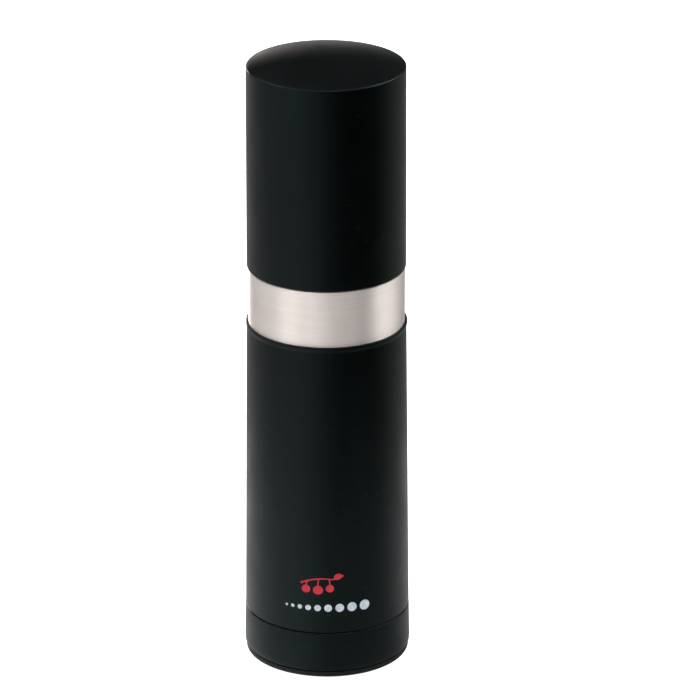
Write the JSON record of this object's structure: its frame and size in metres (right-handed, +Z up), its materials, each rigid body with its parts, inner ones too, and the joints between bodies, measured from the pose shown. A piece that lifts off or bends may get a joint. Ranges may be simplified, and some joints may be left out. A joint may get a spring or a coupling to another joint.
{
  "type": "pepper mill",
  "caption": "Slim cylindrical hand spice mill, matt black with a brushed steel band; the head turns the grinder, and head and base cap pull off.",
  "frame": {"origin": "centre of the foot's underside, on the surface that the mill stands on", "axes": "+Z runs up the mill's axis to the dome; -Y is the side with the printed mark; +X is to its right"},
  "size_m": [0.0502, 0.0502, 0.1897],
  "materials": {
    "soft_touch_black": "matt black soft-touch coating over a moulding, very fine dust-grain texture",
    "brushed_band": "stainless, fine brushing round the band, bright edges",
    "foot_rubber": "matt black rubber with a fine moulded grain",
    "inner_moulding": "dark grey moulding, lightly textured, with faint mould lines",
    "hopper_plastic": "smoke-grey food-grade plastic, polished inside",
    "bearing_nylon": "natural nylon, slightly waxy",
    "seal_rubber": "brick-red silicone rubber, smooth",
    "plate_steel": "stainless sheet, straight fine grain, etched edges",
    "rotor_steel": "machined stainless, faint turning marks",
    "shaft_steel": "drawn stainless bar, lengthways grain",
    "bush_brass": "turned brass, fine tool marks",
    "screw_steel": "bright-plated screws with cross recesses",
    "print_red": "red pad-printed ink film",
    "print_white": "white pad-printed ink film"
  },
  "bodies": {
    "base": {"base_foot": "foot_rubber", "base_cap": "soft_touch_black"},
    "body": {"body_shell": "soft_touch_black", "steel_band": "brushed_band", "hopper_tube": "hopper_plastic", "funnel_ring": "hopper_plastic", "thrust_washer": "bearing_nylon", "glide_ring": "bearing_nylon", "grinder_housing": "inner_moulding", "cap_seal": "seal_rubber", "breaker_plate": "plate_steel", "upper_spacer": "inner_moulding", "grating_plate": "plate_steel", "plate_retainer": "inner_moulding", "lower_bush": "bush_brass", "housing_screws": "screw_steel", "retainer_screws": "screw_steel"},
    "drive": {"drive_shaft": "shaft_steel", "press_rotor": "rotor_steel", "pressure_spring": "shaft_steel", "spring_washer": "screw_steel", "journal_sleeve": "bush_brass", "breaker_rotor": "rotor_steel", "shaft_clip": "screw_steel", "end_washer": "screw_steel", "end_screw": "screw_steel"},
    "head": {"head_shell": "soft_touch_black", "head_core": "inner_moulding", "drive_socket": "bearing_nylon", "grip_ring": "seal_rubber", "core_screws": "screw_steel"}
  },
  "joints": [
    {"name": "body_lift", "type": "slide", "parent": "base", "child": "body", "axis": [0, 0, 1], "range_m": [0, 0.03]},
    {"name": "head_turn", "type": "hinge", "parent": "body", "child": "drive", "pos_m": [0, 0, 0.1], "axis": [0, 0, 1], "continuous": true},
    {"name": "head_lift", "type": "slide", "parent": "drive", "child": "head", "axis": [0, 0, 1], "range_m": [0, 0.04]}
  ]
}
